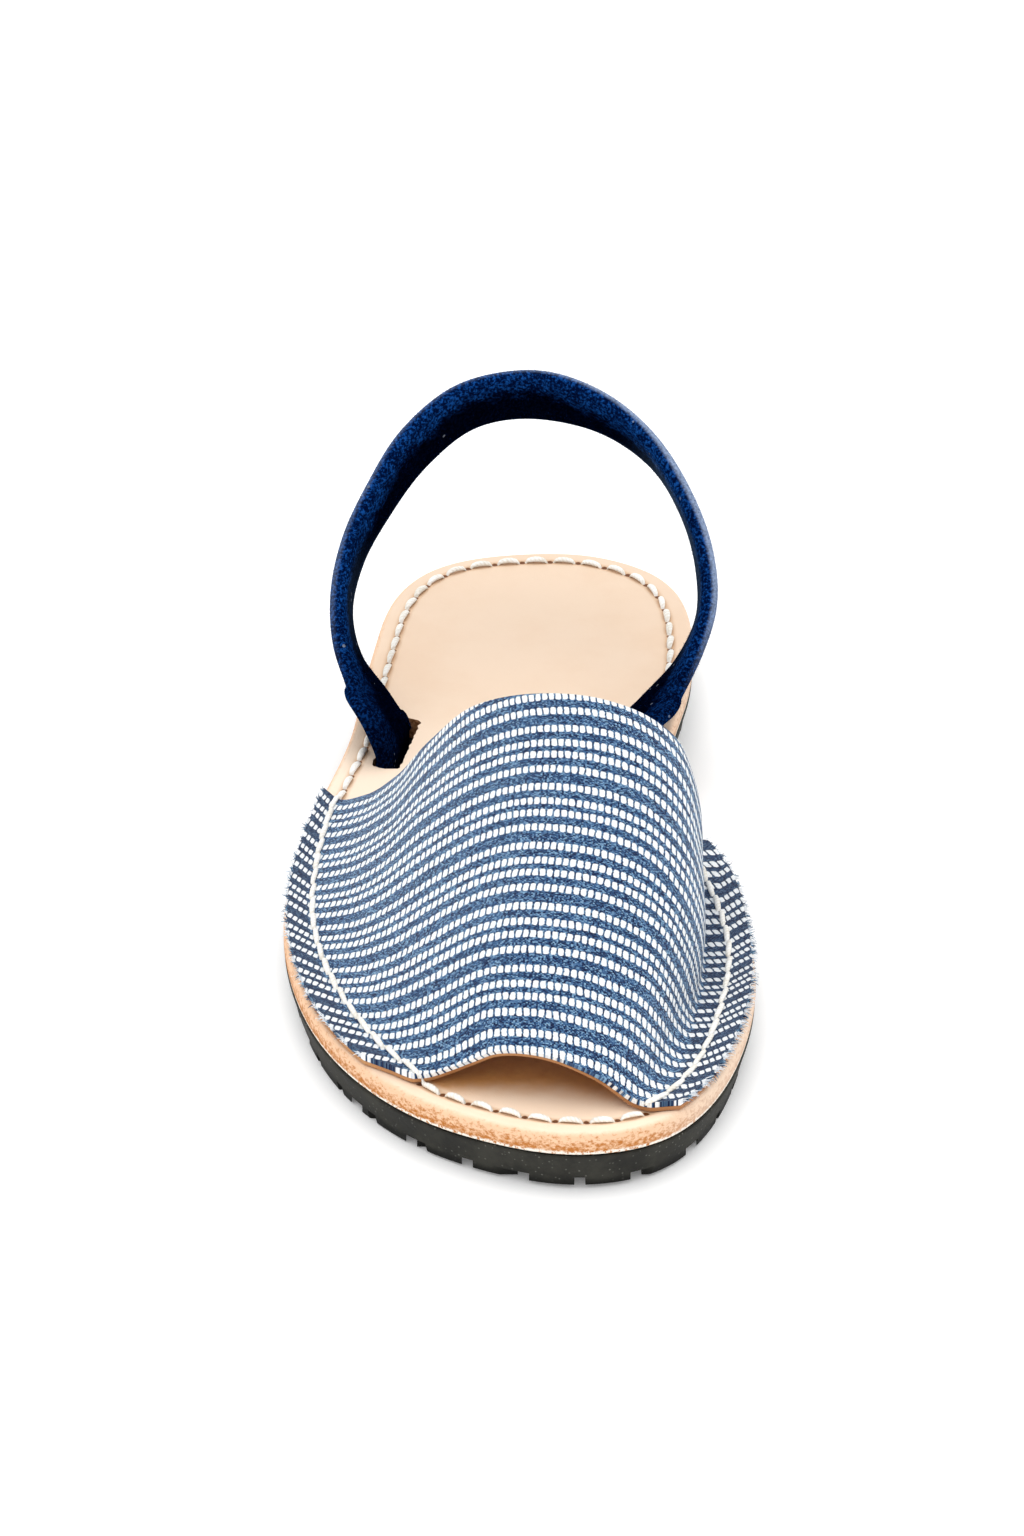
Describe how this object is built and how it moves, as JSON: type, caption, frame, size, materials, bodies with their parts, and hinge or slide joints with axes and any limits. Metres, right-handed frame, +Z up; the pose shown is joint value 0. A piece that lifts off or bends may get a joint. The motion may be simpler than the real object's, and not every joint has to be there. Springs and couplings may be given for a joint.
{
  "type": "flat sandal",
  "caption": "Flat right-foot slingback sandal: striped woven vamp open at toe and rear, leather footbed, suede heel strap in two slots, thin rubber sole with block tread.",
  "frame": {"origin": "middle of the sole's outline, on the floor", "axes": "-Y toward the toe, +Y toward the heel, +X toward the big toe side, +Z up"},
  "size_m": [0.0972, 0.25, 0.0741],
  "materials": {
    "rubber": "matt dark grey rubber with faint light specks",
    "leather": "pale vegetable-tanned leather, satin top, raw orange-brown edge",
    "cloth": "blue woven cloth with rows of white thread, leather lined",
    "suede": "navy suede with a short nap"
  },
  "bodies": {
    "root": {"outsole": "rubber", "footbed": "leather", "upper": "cloth", "heel_strap": "suede"}
  },
  "joints": []
}
